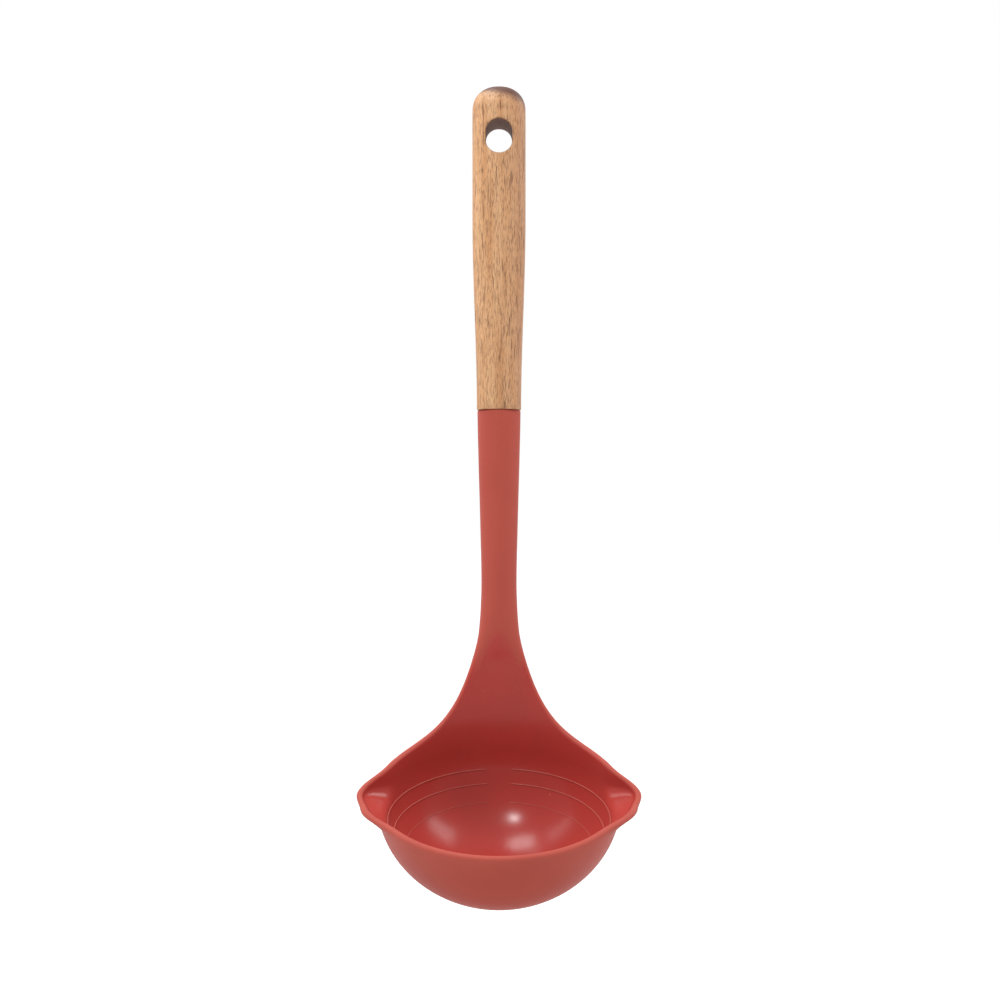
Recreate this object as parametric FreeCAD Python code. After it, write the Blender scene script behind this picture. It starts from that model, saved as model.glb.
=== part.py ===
"""Silicone soup ladle with two pouring spouts and a wooden handle.

Frame: the handle's axis is Z, with +Z up. The bowl opens towards -Y, and X runs from
spout to spout. The origin is the centre of the hanging slot. All sizes are millimetres.

The bowl is drawn in its own level frame (rim level, z = 0 at the front of the rim, +y at
the back where the neck rises) and is then tipped and moved under the handle.
"""

import FreeCAD
import Part
import math
import os

# Handle, a flattened turning with a domed end
HANDLE_TOP = 20.2
JOINT_Z = -101.6
HANDLE_HALF_WIDTH = 9.9
HANDLE_HALF_DEPTH = 7.6
HANDLE_END_HALF_WIDTH = 8.35
HANDLE_END_HALF_DEPTH = 6.9
HANDLE_TAPER_START = -30.0
HANDLE_SQUARENESS = 0.12
HANDLE_LEVELS = [JOINT_Z, -90.0, -75.0, -60.0, -45.0, -30.0, -15.0, 0.0, 6.0]
DOME_HEIGHT = 9.5
DOME_FULLNESS = 2.4
DOME_LEVELS = 9
OVAL_POINTS = 48
SLOT_WIDTH = 9.9
SLOT_LENGTH = 12.7
SLOT_EDGE_ROUND = 0.6

# Blind socket, tang and glue
SOCKET_RADIUS = 4.5
SOCKET_DEPTH = 50.0
TANG_RADIUS = 3.7
TANG_LENGTH = 48.0
BARB_RADIUS = 4.15
BARB_PITCH = 8.0
BARB_START = 6.0
BARB_COUNT = 5
BARB_WIDTH = 2.4

# Bowl, in its own level frame
BOWL_LEAN = 12.6
BOWL_HEIGHT = -238.8
BOWL_RADIUS = 42.3
BOWL_DEPTH = 35.8
BOWL_FULLNESS = 1.94
WALL = 2.5
FLOOR = 3.6
FLOOR_FLAT_RADIUS = 8.0
WALL_COLUMNS = 120
SIDE_ROWS = 26
LIP_ROWS = 7

# Rim: nearly level from the front to the spouts, then rising steeply up the back
RIM_FRONT = -1.7
RIM_SLOPE = -0.009
FLARE_FOOT = 4.76
FLARE_RISE = 36.5
FLARE_START = 9.5
FLARE_FADE = 13.1
FLARE_TOP = 43.0
FLARE_BEND = 20.0
NOTCH_START = 66.4
NOTCH_END = 96.0

# Pouring spouts at the two sides
SPOUT_SWELL = 0.19
SPOUT_WIDTH_FRONT = 22.0
SPOUT_WIDTH_BACK = 13.4
SPOUT_SQUARENESS = 2.8
SPOUT_DEPTH = 6.0
SPOUT_FADE = 1.8

# Neck: height, half width, half depth, and how far it follows the bowl's curve
NECK_STATIONS = [
    (JOINT_Z, 8.15, 6.7, 0.0),
    (-118.0, 7.8, 6.4, 0.0),
    (-142.0, 7.15, 5.95, 0.0),
    (-166.0, 6.65, 5.6, 0.0),
    (-177.0, 6.95, 5.4, 0.0),
    (-183.5, 7.45, 5.1, 0.1),
    (-188.5, 8.1, 4.7, 0.35),
    (-193.0, 8.8, 4.0, 0.7),
    (-198.0, 9.5, 3.1, 0.9),
    (-203.0, 10.3, 2.2, 1.0),
    (-208.0, 11.4, 1.4, 1.0),
    (-212.0, 12.4, 0.8, 1.0),
]
SHOULDER_ROUND = 0.8

# Scoop: where the neck's front hollows out into the bowl's back wall
SCOOP_TOP = -184.0
SCOOP_BOTTOM = -199.5
SCOOP_TOP_DEPTH = 5.15
SCOOP_TOP_RADIUS = 8.0
SCOOP_LEVELS = 9

# Raised graduation rings inside the bowl
RING_DEPTHS = (7.0, 12.0, 17.7)
RING_GAP = 6.5
RING_RADIUS = 0.35
RING_STEPS = 60

# Nylon core inside the silicone
SKIN = 0.7
CORE_FLOOR_SKIN = 1.2
CORE_RIM_DROP = 3.0
CORE_NECK_SKIN = 1.3
CORE_NECK_MIN = 0.3

# How near an edge's box lies to the plane or opening that it belongs to
TOUCH = 0.1

LEAN_COS = math.cos(math.radians(BOWL_LEAN))
LEAN_TAN = math.tan(math.radians(BOWL_LEAN))
WALL_MIDDLE = BOWL_RADIUS - WALL / 2
# The back wall, once bent parallel to the handle, lies on the handle's axis
BOWL_SETBACK = -(WALL_MIDDLE - LEAN_TAN * FLARE_BEND / 2) * LEAN_COS


def smooth_step(value, start, end):
    """0 before start, 1 after end, and an even S between them."""
    t = min(max((value - start) / (end - start), 0.0), 1.0)
    return t * t * (3 - 2 * t)


def back_shift(z):
    """How far the back wall has leant back at height z, to end parallel to the handle."""
    if z <= 0:
        return 0.0
    if z < FLARE_BEND:
        return LEAN_TAN * z * z / (2 * FLARE_BEND)
    return LEAN_TAN * (z - FLARE_BEND / 2)


def rim_height(angle):
    """Height of the rim's centre line; angle is in degrees round the bowl from the back."""
    angle = abs(angle)
    y = WALL_MIDDLE * math.cos(math.radians(angle))
    level = RIM_FRONT + RIM_SLOPE * (y + WALL_MIDDLE)
    flare = FLARE_FOOT + FLARE_RISE * math.exp(-(angle - FLARE_START) / FLARE_FADE)
    crown = FLARE_TOP - math.log(1 + math.exp(FLARE_TOP - flare))
    return crown + (level - crown) * smooth_step(angle, NOTCH_START, NOTCH_END)


def spout_factor(angle, z):
    """How much further out the wall lies at a spout; 1 away from the spouts."""
    from_side = abs(angle) - 90.0
    width = SPOUT_WIDTH_FRONT if from_side > 0 else SPOUT_WIDTH_BACK
    around = math.exp(-abs(from_side / width) ** SPOUT_SQUARENESS)
    depth = min(max(-z / SPOUT_DEPTH, 0.0), 1.0)
    down = math.cos(math.pi / 2 * depth) ** SPOUT_FADE
    return 1 + SPOUT_SWELL * around * down


def bowl_point(angle, z, radius, depth):
    """A point of a bowl surface of this radius and depth, at height z, in the level frame."""
    share = min(max(-z / depth, 0.0), 1.0)
    r = radius * math.sqrt(1 - share ** BOWL_FULLNESS) * spout_factor(angle, z)
    turn = math.radians(angle)
    return FreeCAD.Vector(r * math.sin(turn), r * math.cos(turn) + back_shift(z), z)


def to_place(shape):
    """Tip a shape from the bowl's level frame and move it under the handle."""
    placed = shape.copy()
    placed.rotate(FreeCAD.Vector(0, 0, 0), FreeCAD.Vector(1, 0, 0), BOWL_LEAN)
    placed.translate(FreeCAD.Vector(0, BOWL_SETBACK, BOWL_HEIGHT))
    return placed


def rim_stretch(angle):
    """How much taller than round the lip is drawn, so that it stays round where the rim climbs."""
    step = 0.5
    climb = rim_height(angle + step) - rim_height(angle - step)
    run = WALL_MIDDLE * math.radians(2 * step)
    return math.hypot(1.0, climb / run)


def side_point(angle, share, top, radius, depth):
    """A point up one side of the wall: share runs from 0 at the flat floor to 1 at the rim."""
    start = math.asin(FLOOR_FLAT_RADIUS / radius)
    if top > 0:
        end = math.pi / 2 + top / radius
    else:
        end = math.acos((-top / depth) ** (BOWL_FULLNESS / 2))
    sweep = start + (end - start) * share
    if sweep > math.pi / 2:
        z = radius * (sweep - math.pi / 2)
    else:
        z = -depth * math.cos(sweep) ** (2 / BOWL_FULLNESS)
    return bowl_point(angle, z, radius, depth)


def lip_point(angle, turn, top, middle, half, depth):
    """A point of the round lip: turn runs from 0 outside to pi inside."""
    point = bowl_point(angle, top, middle + half * math.cos(turn), depth)
    point.z = point.z + half * rim_stretch(angle) * math.sin(turn)
    point.y = point.y + back_shift(point.z) - back_shift(top)
    return point


def round_surface(columns):
    """A smooth surface closed round the bowl, drawn towards the points of each column."""
    rows = len(columns[0])
    surface = Part.BSplineSurface()
    surface.buildFromPolesMultsKnots(
        columns,
        [1] * (len(columns) + 1),
        [4] + [1] * (rows - 4) + [4],
        list(range(len(columns) + 1)),
        list(range(rows - 2)),
        True,
        False,
        3,
        3,
    )
    return surface


def floor_disc(surface):
    """The flat floor that closes one side of the wall."""
    return Part.Face(Part.Wire([surface.vIso(0.0).toShape()]))


def bowl_wall(skin, floor_skin, rim_drop):
    """A closed bowl wall with its flared back; skin is how far each side is drawn in."""
    outer_radius = BOWL_RADIUS - skin
    outer_depth = BOWL_DEPTH - floor_skin
    inner_radius = BOWL_RADIUS - WALL + skin
    inner_depth = BOWL_DEPTH - FLOOR + floor_skin
    middle = (outer_radius + inner_radius) / 2
    half = (outer_radius - inner_radius) / 2
    outer = []
    inner = []
    lip = []
    for i in range(WALL_COLUMNS):
        angle = 360.0 * i / WALL_COLUMNS
        angle = angle if angle <= 180 else angle - 360
        top = rim_height(angle) - rim_drop
        shares = [j / (SIDE_ROWS - 1) for j in range(SIDE_ROWS)]
        outer.append([side_point(angle, share, top, outer_radius, outer_depth) for share in shares])
        inner.append([side_point(angle, share, top, inner_radius, inner_depth) for share in shares])
        turns = [math.pi * j / (LIP_ROWS - 1) for j in range(1, LIP_ROWS - 1)]
        over = [lip_point(angle, turn, top, middle, half, outer_depth) for turn in turns]
        lip.append([outer[-1][-1]] + over + [inner[-1][-1]])
    surfaces = [round_surface(columns) for columns in (outer, lip, inner)]
    faces = [surface.toShape() for surface in surfaces]
    faces = faces + [floor_disc(surfaces[0]), floor_disc(surfaces[2])]
    skin_faces = Part.makeCompound(faces)
    skin_faces.sewShape()
    solid = Part.makeSolid(skin_faces.Shells[0])
    if solid.Volume < 0:
        solid.reverse()
    return to_place(solid)


def bead(points, radius):
    """A round bead along a smooth line through points."""
    curve = Part.BSplineCurve()
    curve.interpolate(points)
    path = Part.Wire([curve.toShape()])
    circle = Part.makeCircle(radius, points[0], points[1] - points[0])
    return path.makePipeShell([Part.Wire([circle])], True, True)


def graduation_ring(depth):
    """One raised ring on the bowl's inner wall, open at the back."""
    points = []
    for i in range(RING_STEPS + 1):
        angle = RING_GAP + (360 - 2 * RING_GAP) * i / RING_STEPS
        turn = angle if angle <= 180 else angle - 360
        points.append(bowl_point(turn, -depth, BOWL_RADIUS - WALL, BOWL_DEPTH - FLOOR))
    return to_place(bead(points, RING_RADIUS))


def oval(z, half_width, half_depth, squareness, follow):
    """A closed oval at height z, squarer as squareness grows; follow bends it like the back wall."""
    points = []
    for i in range(OVAL_POINTS):
        turn = 2 * math.pi * i / OVAL_POINTS
        x = half_width * math.cos(turn) * (1 + squareness * math.sin(turn) ** 2)
        y = half_depth * math.sin(turn) * (1 + squareness * math.cos(turn) ** 2)
        bend = WALL_MIDDLE - math.sqrt(WALL_MIDDLE ** 2 - x ** 2)
        points.append(FreeCAD.Vector(x, y - follow * bend * LEAN_COS, z))
    curve = Part.BSplineCurve()
    curve.interpolate(points, True)
    return Part.Wire([curve.toShape()])


def scoop(skin):
    """The space in front of the neck's hollow, a horn that opens into the bowl's own curve."""
    circles = []
    for i in range(SCOOP_LEVELS):
        share = i / (SCOOP_LEVELS - 1)
        z = SCOOP_TOP + (SCOOP_BOTTOM - SCOOP_TOP) * share
        radius = SCOOP_TOP_RADIUS + (WALL_MIDDLE - SCOOP_TOP_RADIUS) * share
        depth = SCOOP_TOP_DEPTH + (WALL / 2 - SCOOP_TOP_DEPTH) * smooth_step(share, 0.0, 1.0)
        centre = FreeCAD.Vector(0, skin - depth - radius, z)
        circles.append(Part.Wire([Part.makeCircle(radius, centre)]))
    return Part.makeLoft(circles, True, False)


def neck(skin):
    """The neck, from the joint with the wood down into the bowl's back wall, hollowed in front."""
    sections = []
    for z, half_width, half_depth, follow in NECK_STATIONS:
        depth = max(half_depth - skin, CORE_NECK_MIN)
        sections.append(oval(z, half_width - skin, depth, 0.0, follow))
    return Part.makeLoft(sections, True, False).cut(scoop(skin))


def tang():
    """The barbed tang that goes up into the handle."""
    axis = FreeCAD.Vector(0, 0, 1)
    bar = Part.makeCylinder(TANG_RADIUS, TANG_LENGTH, FreeCAD.Vector(0, 0, JOINT_Z), axis)
    for i in range(BARB_COUNT):
        foot = JOINT_Z + BARB_START + BARB_PITCH * i
        barb = Part.makeCone(BARB_RADIUS, TANG_RADIUS, BARB_WIDTH, FreeCAD.Vector(0, 0, foot), axis)
        bar = bar.fuse(barb)
    return bar


def nylon_core():
    """The stiff insert: a liner in the bowl's wall, a stem in the neck and the tang."""
    liner = bowl_wall(SKIN, CORE_FLOOR_SKIN, CORE_RIM_DROP)
    return liner.fuse([neck(CORE_NECK_SKIN), tang()])


def silicone_head(core):
    """The red skin over the core: bowl, spouts, lip, rings and neck."""
    stem = neck(0.0)
    top_edges = [edge for edge in stem.Edges if edge.BoundBox.ZMin > JOINT_Z - TOUCH]
    stem = stem.makeFillet(SHOULDER_ROUND, top_edges)
    wall = bowl_wall(0.0, 0.0, 0.0)
    rings = [graduation_ring(depth) for depth in RING_DEPTHS]
    return wall.fuse([stem] + rings).cut(core)


def dome_share(z):
    """How much of its full section the handle has at height z under the domed end."""
    below = min((HANDLE_TOP - z) / DOME_HEIGHT, 1.0)
    return math.sqrt(1 - (1 - below) ** DOME_FULLNESS)


def handle_section(z):
    """The handle's section at height z: tapered towards the joint, domed at the end."""
    taper = smooth_step(-z, -HANDLE_TAPER_START, -JOINT_Z)
    width = HANDLE_HALF_WIDTH + (HANDLE_END_HALF_WIDTH - HANDLE_HALF_WIDTH) * taper
    depth = HANDLE_HALF_DEPTH + (HANDLE_END_HALF_DEPTH - HANDLE_HALF_DEPTH) * taper
    share = dome_share(z)
    return oval(z, width * share, depth * share, HANDLE_SQUARENESS, 0.0)


def hanging_slot():
    """The through slot near the handle's end."""
    radius = SLOT_WIDTH / 2
    offset = SLOT_LENGTH / 2 - radius
    length = 4 * HANDLE_HALF_DEPTH
    back = FreeCAD.Vector(0, 1, 0)
    ends = []
    for z in (-offset, offset):
        ends.append(Part.makeCylinder(radius, length, FreeCAD.Vector(0, -length / 2, z), back))
    middle = Part.makeBox(2 * radius, length, 2 * offset, FreeCAD.Vector(-radius, -length / 2, -offset))
    return middle.fuse(ends).removeSplitter()


def is_slot_rim(edge):
    """Whether an edge is where the slot breaks out of the handle's front or back."""
    box = edge.BoundBox
    near = max(abs(box.ZMin), abs(box.ZMax)) < SLOT_LENGTH / 2 + TOUCH
    return near and box.YMax - box.YMin < HANDLE_HALF_DEPTH and abs(box.Center.x) < SLOT_WIDTH / 2


def wooden_handle():
    """The wooden handle, with its slot and the blind socket for the tang."""
    dome = [HANDLE_TOP - DOME_HEIGHT * (1 - i / DOME_LEVELS) ** 2 for i in range(DOME_LEVELS)]
    sections = [handle_section(z) for z in HANDLE_LEVELS + dome]
    body = Part.makeLoft(sections, True, False)
    body = body.cut(hanging_slot())
    slot_edges = [edge for edge in body.Edges if is_slot_rim(edge)]
    body = body.makeFillet(SLOT_EDGE_ROUND, slot_edges)
    axis = FreeCAD.Vector(0, 0, 1)
    socket = Part.makeCylinder(SOCKET_RADIUS, SOCKET_DEPTH, FreeCAD.Vector(0, 0, JOINT_Z), axis)
    return body.cut(socket)


def tang_adhesive(core):
    """The cured glue that fills the socket round the tang."""
    axis = FreeCAD.Vector(0, 0, 1)
    filling = Part.makeCylinder(SOCKET_RADIUS, SOCKET_DEPTH, FreeCAD.Vector(0, 0, JOINT_Z), axis)
    return filling.cut(core)


def main():
    """Build the four pieces and write each one's STEP file."""
    os.makedirs("parts", exist_ok=True)
    core = nylon_core()
    nodes = {
        "nylon_core": core,
        "silicone_head": silicone_head(core),
        "tang_adhesive": tang_adhesive(core),
        "wooden_handle": wooden_handle(),
    }
    for name, shape in nodes.items():
        solids = shape.Solids
        print(name, "solids", len(solids), "valid", shape.isValid(), "volume", round(shape.Volume, 1))
        shape.exportStep("parts/" + name + ".step")


main()
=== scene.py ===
# %% [markdown]
# # A silicone soup ladle with a wooden handle
# The ladle has a red silicone head, moulded over a stiff core, and a hardwood handle with a
# hanging slot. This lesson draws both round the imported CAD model, which stays still and says where
# things go. Everything is drawn in millimetres, as on the maker's drawing, and scaled to metres at
# the very end.

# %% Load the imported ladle
import math

import bmesh
import bpy
from mathutils import Matrix, Vector


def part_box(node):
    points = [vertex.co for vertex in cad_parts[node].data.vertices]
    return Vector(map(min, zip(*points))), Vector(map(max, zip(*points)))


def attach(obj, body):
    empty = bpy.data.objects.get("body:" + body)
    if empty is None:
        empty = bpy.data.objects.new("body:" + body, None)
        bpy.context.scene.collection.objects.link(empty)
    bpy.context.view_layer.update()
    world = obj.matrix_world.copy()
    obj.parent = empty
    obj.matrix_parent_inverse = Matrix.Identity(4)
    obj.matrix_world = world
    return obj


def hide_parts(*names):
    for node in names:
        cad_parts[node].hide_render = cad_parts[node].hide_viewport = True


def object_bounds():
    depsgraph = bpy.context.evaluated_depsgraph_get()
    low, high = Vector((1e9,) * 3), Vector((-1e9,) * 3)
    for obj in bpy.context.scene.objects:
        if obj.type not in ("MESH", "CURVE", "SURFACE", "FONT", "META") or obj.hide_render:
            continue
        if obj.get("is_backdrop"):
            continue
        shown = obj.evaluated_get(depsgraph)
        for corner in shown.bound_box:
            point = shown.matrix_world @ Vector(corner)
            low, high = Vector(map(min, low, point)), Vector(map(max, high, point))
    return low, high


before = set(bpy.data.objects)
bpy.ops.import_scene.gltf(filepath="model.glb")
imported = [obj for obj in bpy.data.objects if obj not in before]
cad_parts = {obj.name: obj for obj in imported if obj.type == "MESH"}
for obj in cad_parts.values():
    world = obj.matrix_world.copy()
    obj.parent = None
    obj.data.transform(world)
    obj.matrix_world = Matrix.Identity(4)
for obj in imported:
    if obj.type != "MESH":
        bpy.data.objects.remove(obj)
cad_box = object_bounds()
MM = 0.001
handle_low, handle_high = (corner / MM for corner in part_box("wooden_handle"))
head_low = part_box("silicone_head")[0] / MM
JOINT_Z = handle_low.z
HANDLE_TOP = handle_high.z
print("handle from", round(JOINT_Z, 2), "to", round(HANDLE_TOP, 2), "mm")
print("bowl down to", round(head_low.z, 2), "mm")

# %% [markdown]
# ## The camera
# The camera stands level in front of the ladle, about half a metre away, and half way down its
# length. From there the eye sees over the front rim and up to the slot's ceiling. The lens is
# shifted a hair sideways, which sets the ladle just off the middle of the view.

# %% Camera
CAMERA_PLACE = (0.0, -0.480, -0.1355)
SENSOR_WIDTH = 36.0
LENS = 45.83
SHIFT = 0.0010

camera = bpy.data.objects.new("camera", bpy.data.cameras.new("camera"))
camera.data.sensor_width = SENSOR_WIDTH
camera.data.lens = LENS
camera.data.shift_x = SHIFT
camera.location = CAMERA_PLACE
camera.rotation_euler = (math.radians(90), 0, 0)
bpy.context.scene.collection.objects.link(camera)
bpy.context.scene.camera = camera

# %% [markdown]
# ## Writing shader sums as plain sums
# A material's pattern is arithmetic on numbers that change over the surface. Blender does it with
# Math nodes, which are slow to wire by hand. A small class wraps a node's output, so that a sum
# written in Python adds the node, and one method makes every other kind of node.

# %% Node helpers
class Output:
    """A node's output, which ordinary sums can be written with."""

    def __init__(self, finish, socket):
        self.finish = finish
        self.socket = socket

    def __add__(self, other):
        return self.finish.maths("ADD", self, other)

    __radd__ = __add__

    def __sub__(self, other):
        return self.finish.maths("SUBTRACT", self, other)

    def __rsub__(self, other):
        return self.finish.maths("SUBTRACT", other, self)

    def __mul__(self, other):
        return self.finish.maths("MULTIPLY", self, other)

    __rmul__ = __mul__


class Finish:
    """One material, and the nodes that give it its look."""

    def __init__(self, name):
        self.material = bpy.data.materials.new(name)
        self.material.use_nodes = True
        self.tree = self.material.node_tree
        self.shader = self.tree.nodes["Principled BSDF"]
        self.place = self.node("TexCoord", output="Object")

    def put(self, socket, value):
        """Give a socket its value, or a link."""
        if isinstance(value, Output):
            self.tree.links.new(value.socket, socket)
        else:
            socket.default_value = value

    def node(self, kind, settings=None, inputs=None, output=0):
        """A node of any kind: its settings first, then the values or links of its sockets."""
        node = self.tree.nodes.new("ShaderNode" + kind)
        for name, value in (settings or {}).items():
            setattr(node, name, value)
        for name, value in (inputs or {}).items():
            self.put(node.inputs[name], value)
        return Output(self, node.outputs[output])

    def maths(self, operation, *values):
        """A sum on one or more values."""
        return self.node("Math", {"operation": operation}, dict(enumerate(values)))

    def step(self, value, start, end):
        """0 where value is below start, 1 above end, and smooth between."""
        settings = {"interpolation_type": "SMOOTHSTEP"}
        inputs = {"Value": value, "From Min": start, "From Max": end}
        return self.node("MapRange", settings, inputs)

    def blend(self, share, first, second):
        """One colour where share is 0, turning to the other where it is 1."""
        inputs = {0: share, 6: first, 7: second}
        return self.node("Mix", {"data_type": "RGBA"}, inputs, output=2)

    def noise(self, stretch, scale, detail, roughness=0.5):
        """A cloudy pattern, drawn out along each axis by its share of the scale."""
        place = self.node("Mapping", None, {"Vector": self.place, "Scale": stretch})
        inputs = {"Vector": place, "Scale": scale, "Detail": detail, "Roughness": roughness}
        return self.node("TexNoise", None, inputs)

    def attribute(self, name):
        """A number that the mesh itself carries."""
        return self.node("Attribute", {"attribute_name": name}, output="Fac")

    def bump(self, height, strength, distance):
        """Small relief that only the light sees."""
        inputs = {"Height": height, "Strength": strength, "Distance": distance}
        return self.node("Bump", None, inputs)

    def surface(self, **sockets):
        """Set the shader's sockets; an underscore in a name stands for a space."""
        for name, value in sockets.items():
            self.put(self.shader.inputs[name.replace("_", " ")], value)
        return self.material


def colour(red, green, blue):
    """A colour from the usual 0 to 255 numbers, as the light values that shaders use."""
    def light(part):
        part = part / 255
        return part / 12.92 if part < 0.04045 else ((part + 0.055) / 1.055) ** 2.4

    return (light(red), light(green), light(blue), 1.0)


# %% [markdown]
# ## Red silicone
# Moulded silicone takes the finish of its mould. The outside was blasted, so it is satin and looks
# a little chalky, and its paler, greyer red is partly painted sheen. The inside of the bowl was
# polished, so it shines, and its deeper red is partly painted shade. A float attribute on the
# mesh, "inside", says which is which. Dust specks and a faint cloudiness keep it from looking like
# paint. A raised line is painted paler: partly dust, partly a painted highlight on its edge.

# %% Red silicone finish
# The outside colour is partly painted sheen, paler and greyer; the inside colour is partly painted
# shade, a deeper red.
SILICONE_OUTSIDE_AND_SHEEN = colour(168, 73, 61)
SILICONE_INSIDE_AND_SHADE = colour(168, 58, 52)
SILICONE_CLOUD = colour(150, 60, 53)
SPECK = colour(206, 140, 126)
SKIN_TINT = colour(255, 214, 204)
SATIN_ROUGHNESS = 0.58
POLISH = 0.36
DUST_SCALE = 210.0
DUST_LIMITS = (0.93, 0.94)
# A raised line's paleness is partly dust and partly a painted highlight on its edge.
LINE_DUST_AND_HIGHLIGHT = 0.24


def red_silicone(name, paler=0.0):
    """Satin outside and polished inside, with painted sheen and shade; paler mixes in a raised
    line's dust and painted highlight.
    """
    finish = Finish(name)
    inside = finish.attribute("inside")
    cloud = finish.noise((1, 1, 0.6), 55.0, 4.0)
    fine = finish.noise((1, 1, 1), 900.0, 2.0)
    body = finish.blend(inside, SILICONE_OUTSIDE_AND_SHEEN, SILICONE_INSIDE_AND_SHADE)
    body = finish.blend(finish.step(cloud, 0.42, 0.75) * 0.3, body, SILICONE_CLOUD)
    cells = {"Vector": finish.place, "Scale": DUST_SCALE}
    distance = finish.node("TexVoronoi", None, cells, output="Distance")
    pick = finish.node("TexVoronoi", None, cells, output="Color")
    lot = finish.node("SeparateColor", None, {"Color": pick}, output="Red")
    chosen = finish.step(lot, *DUST_LIMITS)
    dust = (1 - finish.step(distance, 0.03, 0.06)) * chosen
    body = finish.blend(dust * 0.7, body, SPECK)
    body = finish.blend(paler, body, SPECK) if paler else body
    rough = SATIN_ROUGHNESS - inside * POLISH + (fine - 0.5) * 0.02 + (cloud - 0.5) * 0.08
    relief = finish.bump(fine * (1 - inside * 0.8), 0.1, 0.0001)
    return finish.surface(
        Base_Color=body, Roughness=rough, Normal=relief, IOR=1.42, Specular_IOR_Level=0.26,
        Sheen_Weight=0.04, Sheen_Roughness=0.5, Sheen_Tint=SKIN_TINT,
    )


silicone_finish = red_silicone("red_silicone")
ring_finish = red_silicone("red_silicone_raised_line", LINE_DUST_AND_HIGHLIGHT)

# %% [markdown]
# ## Oiled hardwood
# The handle is a light, open-pored hardwood. Its fibres run along Z, so every pattern is drawn out
# that way: broad bands of colour, thin lines, and short dark pores. Its rosier, darker right-hand
# side is painted shade.
# Where the saw or the drill cut across the fibres, on the domed end and in the slot, the wood
# drinks more oil and goes darker; that darkening is also painted shade, over the crown's top and
# right side and inside the slot. Two float attributes on the mesh, one for the end and one for the
# slot, say where that is.

# %% Hardwood finish
WOOD_LIGHT = colour(206, 160, 117)
WOOD_WARM = colour(188, 135, 89)
WOOD_RIGHT_SHADE = colour(163, 116, 89)
WOOD_PORE = colour(98, 64, 44)
WOOD_END_GRAIN_AND_SHADE = colour(84, 48, 35)
WOOD_CUT_AND_SHADE = colour(100, 66, 56)


def oiled_hardwood():
    """Long fibres along Z, short pores, and darker end grain."""
    finish = Finish("oiled_hardwood")
    across = finish.node("SeparateXYZ", None, {0: finish.place}, output="X")
    bands = finish.noise((1, 1, 0.05), 230.0, 4.0, 0.6)
    lines = finish.noise((1, 1, 0.03), 1500.0, 4.0, 0.7)
    pores = finish.noise((1, 1, 0.06), 2300.0, 2.0, 0.5)
    patches = finish.noise((1, 1, 0.12), 420.0, 2.0)
    short = finish.noise((1, 1, 0.14), 3000.0, 2.0, 0.6)
    # Painted shade: the right-hand side of the handle turns rosier and darker.
    right_shade = finish.step(across + (bands - 0.5) * 0.012, -0.004, 0.011)
    body = finish.blend(finish.step(bands, 0.35, 0.7), WOOD_LIGHT, WOOD_WARM)
    body = finish.blend(right_shade * 0.55, body, WOOD_RIGHT_SHADE)
    body = finish.blend(finish.step(lines, 0.42, 0.66) * 0.6, body, WOOD_WARM)
    pore = finish.step(pores, 0.55, 0.66) * finish.step(patches, 0.3, 0.6)
    body = finish.blend(finish.step(short, 0.48, 0.64) * 0.5, body, WOOD_PORE)
    body = finish.blend(pore * 0.75, body, WOOD_PORE)
    # End grain, and painted shade on the crown's top and right side.
    body = finish.blend(finish.attribute("end"), body, WOOD_END_GRAIN_AND_SHADE)
    # The slot's wall: cut fibres, and painted shade inside the slot.
    cut_and_shade = finish.attribute("cut_and_shade")
    body = finish.blend(cut_and_shade * 0.9, body, WOOD_CUT_AND_SHADE)
    rough = 0.52 + pore * 0.2 + (lines - 0.5) * 0.1 + cut_and_shade * 0.2
    relief = finish.bump(lines * 0.5 - pore, 0.25, 0.00015)
    return finish.surface(Base_Color=body, Roughness=rough, Normal=relief, IOR=1.45)


wood_finish = oiled_hardwood()

# %% [markdown]
# ## The hidden core and its glue
# Inside are a glass-filled nylon core and the epoxy round its tang. They are right as the CAD drew
# them, so their meshes stay, and only their finish is new: short pale fibres in grey nylon, and a
# yellowish glue with a few trapped bubbles.

# %% Nylon and epoxy finishes
NYLON = colour(62, 60, 58)
NYLON_FIBRE = colour(104, 101, 96)
EPOXY = colour(206, 178, 112)
EPOXY_BUBBLE = colour(232, 214, 166)


def filled_nylon():
    """Dark nylon with short glass fibres just under its skin."""
    finish = Finish("filled_nylon")
    fibres = finish.noise((1, 1, 0.2), 2200.0, 2.0)
    mask = finish.step(fibres, 0.58, 0.7)
    relief = finish.bump(fibres, 0.2, 0.0001)
    body = finish.blend(mask * 0.6, NYLON, NYLON_FIBRE)
    return finish.surface(Base_Color=body, Roughness=0.5 + mask * 0.12, Normal=relief)


def cured_epoxy():
    """Glossy, yellowish glue with small bubbles."""
    finish = Finish("cured_epoxy")
    cells = {"Vector": finish.place, "Scale": 900.0}
    distance = finish.node("TexVoronoi", None, cells, output="Distance")
    bubble = 1 - finish.step(distance, 0.1, 0.25)
    body = finish.blend(bubble * 0.7, EPOXY, EPOXY_BUBBLE)
    return finish.surface(Base_Color=body, Roughness=0.12 + bubble * 0.15)


for node, material in (("nylon_core", filled_nylon()), ("tang_adhesive", cured_epoxy())):
    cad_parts[node].data.materials.clear()
    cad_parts[node].data.materials.append(material)

# %% [markdown]
# ## Finishing a piece
# Each new piece ends the same way: scale it to metres, shade it smooth, hang it on the ladle's body
# and hide the CAD pieces it takes the place of.
# With it stand a few small tools: rules that blend one shape into another without a crease, and
# one that evens out points where two ways of drawing meet.

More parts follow.
